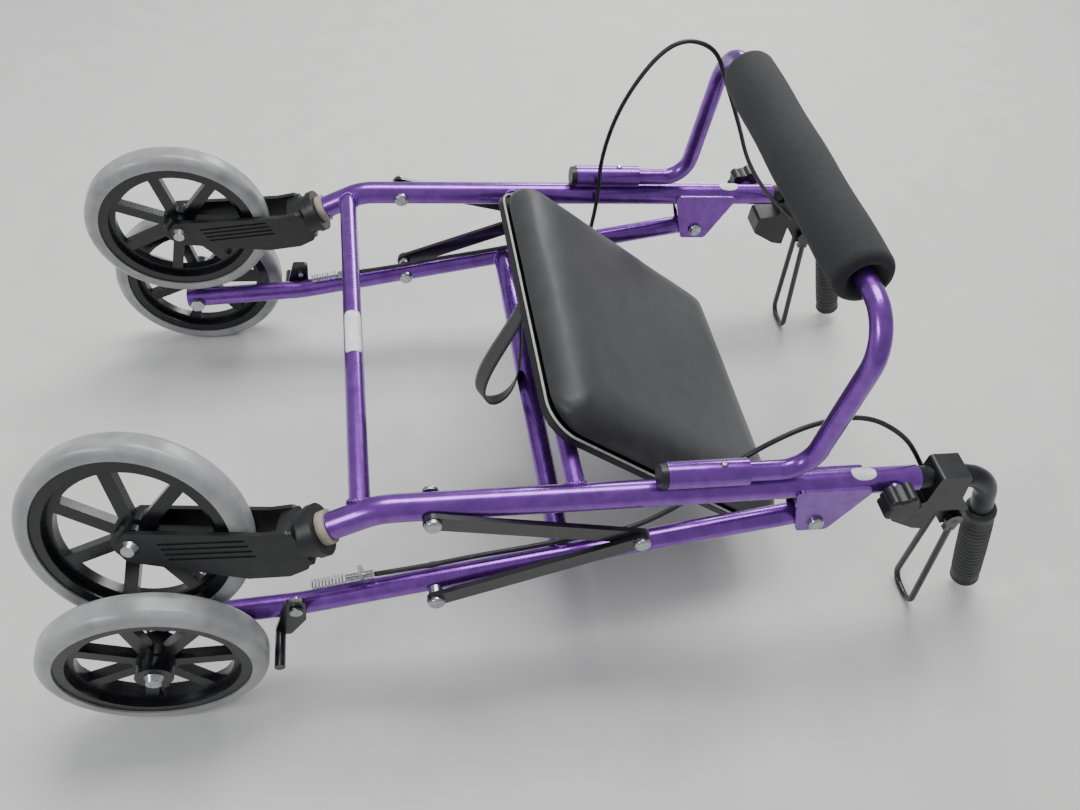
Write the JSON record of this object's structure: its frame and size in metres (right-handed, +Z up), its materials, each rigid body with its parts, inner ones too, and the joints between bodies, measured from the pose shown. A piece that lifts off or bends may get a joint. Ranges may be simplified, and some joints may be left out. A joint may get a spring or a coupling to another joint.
{
  "type": "folding four-wheeled walker",
  "caption": "Folded walker with seat, foam backrest roll, loop brakes, swivel front casters and hinged rear legs, lying on its back.",
  "frame": {"origin": "on the floor below the middle of the walker's length and width, folded and lying on its back", "axes": "+X from the casters to the handles, +Y to the user's right, +Z up from the floor"},
  "size_m": [0.9772, 0.5806, 0.4574],
  "materials": {
    "purple_paint": "gloss metallic",
    "black_paint": "satin",
    "grey_tube": "anodised",
    "black_plastic": "moulded",
    "black_rubber": "soft",
    "cable_jacket": "smooth",
    "foam": "foam",
    "black_vinyl": "grained",
    "grey_tyre": "smooth",
    "black_rim": "moulded",
    "zinc": "zinc plated",
    "bushing": "moulded"
  },
  "bodies": {
    "front_frame": {"front_tube_left": "purple_paint", "front_tube_right": "purple_paint", "fold_bracket_left": "purple_paint", "fold_bracket_right": "purple_paint", "backrest_sleeve_left": "purple_paint", "backrest_sleeve_right": "purple_paint", "lower_crossbar": "purple_paint", "seat_crossbar": "purple_paint", "sleeve_caps": "black_plastic", "frame_bolts": "zinc", "backrest_bar": "purple_paint", "foam_roll": "foam", "caster_bushings": "bushing", "brake_cable_upper_left": "cable_jacket", "brake_cable_upper_right": "cable_jacket"},
    "rear_frame": {"rear_leg_left": "purple_paint", "rear_leg_right": "purple_paint", "rear_cross_tube": "purple_paint", "rear_axles": "zinc", "leg_bolts": "zinc", "brake_pins": "zinc", "cable_barrels": "zinc", "brake_springs": "zinc", "brake_cable_lower_left": "cable_jacket", "brake_cable_lower_right": "cable_jacket"},
    "seat": {"seat_board": "black_plastic", "seat_clips": "black_plastic", "seat_cushion": "black_vinyl"},
    "handle_left": {"height_tube_left": "grey_tube", "grip_left": "black_rubber", "brake_body_left": "black_plastic"},
    "lever_left": {"brake_lever_left": "black_paint"},
    "knob_left": {"height_knob_left": "black_plastic"},
    "button_left": {"snap_button_left": "zinc"},
    "caster_left": {"caster_fork_left": "black_plastic", "front_axle_left": "zinc"},
    "front_wheel_left": {"front_rim_left": "black_rim", "front_tyre_left": "grey_tyre"},
    "rear_wheel_left": {"rear_rim_left": "black_rim", "rear_tyre_left": "grey_tyre"},
    "front_stay_left": {"front_link_left": "black_paint"},
    "rear_stay_left": {"rear_link_left": "black_paint", "knee_bolt_left": "zinc"},
    "shoe_left": {"brake_arm_left": "black_paint"},
    "handle_right": {"height_tube_right": "grey_tube", "grip_right": "black_rubber", "brake_body_right": "black_plastic"},
    "lever_right": {"brake_lever_right": "black_paint"},
    "knob_right": {"height_knob_right": "black_plastic"},
    "button_right": {"snap_button_right": "zinc"},
    "caster_right": {"caster_fork_right": "black_plastic", "front_axle_right": "zinc"},
    "front_wheel_right": {"front_rim_right": "black_rim", "front_tyre_right": "grey_tyre"},
    "rear_wheel_right": {"rear_rim_right": "black_rim", "rear_tyre_right": "grey_tyre"},
    "front_stay_right": {"front_link_right": "black_paint"},
    "rear_stay_right": {"rear_link_right": "black_paint", "knee_bolt_right": "zinc"},
    "shoe_right": {"brake_arm_right": "black_paint"}
  },
  "joints": [
    {"name": "fold", "type": "hinge", "parent": "front_frame", "child": "rear_frame", "pos_m": [0.23551, 0, 0.18649], "axis": [0, -1, 0], "range_deg": [0, 46]},
    {"name": "seat_tilt", "type": "hinge", "parent": "front_frame", "child": "seat", "pos_m": [-0.0016, 0, 0.24111], "axis": [0, 1, 0], "range_deg": [0, 30]},
    {"name": "height_slide_left", "type": "slide", "parent": "front_frame", "child": "handle_left", "axis": [0.9989, 0, -0.0466], "range_m": [0, 0.1]},
    {"name": "brake_squeeze_left", "type": "hinge", "parent": "handle_left", "child": "lever_left", "pos_m": [0.39126, -0.225, 0.16471], "axis": [0, -1, 0], "range_deg": [0, 15], "stiffness_Nm_per_rad": 2, "springref_deg": -5.73},
    {"name": "knob_turn_left", "type": "hinge", "parent": "front_frame", "child": "knob_left", "pos_m": [0.30307, -0.225, 0.22689], "axis": [0, -1, 0], "continuous": true},
    {"name": "button_press_left", "type": "slide", "parent": "front_frame", "child": "button_left", "axis": [-0.0466, 0, -0.9989], "range_m": [0, 0.003], "stiffness_N_per_m": 400, "springref_m": -0.001},
    {"name": "caster_swivel_left", "type": "hinge", "parent": "front_frame", "child": "caster_left", "pos_m": [-0.21934, -0.225, 0.23043], "axis": [-0.9076, 0, -0.4199], "range_deg": [-21, 0]},
    {"name": "front_spin_left", "type": "hinge", "parent": "caster_left", "child": "front_wheel_left", "pos_m": [-0.38474, -0.20547, 0.21641], "axis": [0.1367, 0.9455, -0.2955], "continuous": true},
    {"name": "rear_spin_left", "type": "hinge", "parent": "rear_frame", "child": "rear_wheel_left", "pos_m": [-0.3886, -0.265, 0.1], "axis": [0, 1, 0], "continuous": true},
    {"name": "front_stay_turn_left", "type": "hinge", "parent": "front_frame", "child": "front_stay_left", "pos_m": [-0.13246, -0.225, 0.24722], "axis": [0, 1, 0], "range_deg": [0, 45.2]},
    {"name": "rear_stay_turn_left", "type": "hinge", "parent": "rear_frame", "child": "rear_stay_left", "pos_m": [-0.1311, -0.225, 0.12628], "axis": [0, -1, 0], "range_deg": [0, 41.4]},
    {"name": "shoe_press_left", "type": "hinge", "parent": "rear_frame", "child": "shoe_left", "pos_m": [-0.26139, -0.225, 0.12309], "axis": [0, 1, 0], "range_deg": [0, 5.2]},
    {"name": "height_slide_right", "type": "slide", "parent": "front_frame", "child": "handle_right", "axis": [0.9989, 0, -0.0466], "range_m": [0, 0.1]},
    {"name": "brake_squeeze_right", "type": "hinge", "parent": "handle_right", "child": "lever_right", "pos_m": [0.39126, 0.225, 0.16471], "axis": [0, -1, 0], "range_deg": [0, 15], "stiffness_Nm_per_rad": 2, "springref_deg": -5.73},
    {"name": "knob_turn_right", "type": "hinge", "parent": "front_frame", "child": "knob_right", "pos_m": [0.30307, 0.225, 0.22689], "axis": [0, 1, 0], "continuous": true},
    {"name": "button_press_right", "type": "slide", "parent": "front_frame", "child": "button_right", "axis": [-0.0466, 0, -0.9989], "range_m": [0, 0.003], "stiffness_N_per_m": 400, "springref_m": -0.001},
    {"name": "caster_swivel_right", "type": "hinge", "parent": "front_frame", "child": "caster_right", "pos_m": [-0.21934, 0.225, 0.23043], "axis": [-0.9076, 0, -0.4199], "range_deg": [-15, 6]},
    {"name": "front_spin_right", "type": "hinge", "parent": "caster_right", "child": "front_wheel_right", "pos_m": [-0.38605, 0.22081, 0.21925], "axis": [-0.0293, 0.9976, 0.0633], "continuous": true},
    {"name": "rear_spin_right", "type": "hinge", "parent": "rear_frame", "child": "rear_wheel_right", "pos_m": [-0.3886, 0.265, 0.1], "axis": [0, 1, 0], "continuous": true},
    {"name": "front_stay_turn_right", "type": "hinge", "parent": "front_frame", "child": "front_stay_right", "pos_m": [-0.13246, 0.225, 0.24722], "axis": [0, 1, 0], "range_deg": [0, 45.2]},
    {"name": "rear_stay_turn_right", "type": "hinge", "parent": "rear_frame", "child": "rear_stay_right", "pos_m": [-0.1311, 0.225, 0.12628], "axis": [0, -1, 0], "range_deg": [0, 41.4]},
    {"name": "shoe_press_right", "type": "hinge", "parent": "rear_frame", "child": "shoe_right", "pos_m": [-0.26139, 0.225, 0.12309], "axis": [0, 1, 0], "range_deg": [0, 5.2]}
  ],
  "couplings": [
    {"joint": "seat_tilt", "follows": "fold", "ratio": 0.63},
    {"joint": "front_stay_turn_left", "follows": "fold", "ratio": 0.97114},
    {"joint": "rear_stay_turn_left", "follows": "fold", "ratio": 0.88901},
    {"joint": "shoe_press_left", "follows": "brake_squeeze_left", "ratio": 0.33},
    {"joint": "front_stay_turn_right", "follows": "fold", "ratio": 0.97114},
    {"joint": "rear_stay_turn_right", "follows": "fold", "ratio": 0.88901},
    {"joint": "shoe_press_right", "follows": "brake_squeeze_right", "ratio": 0.33}
  ]
}
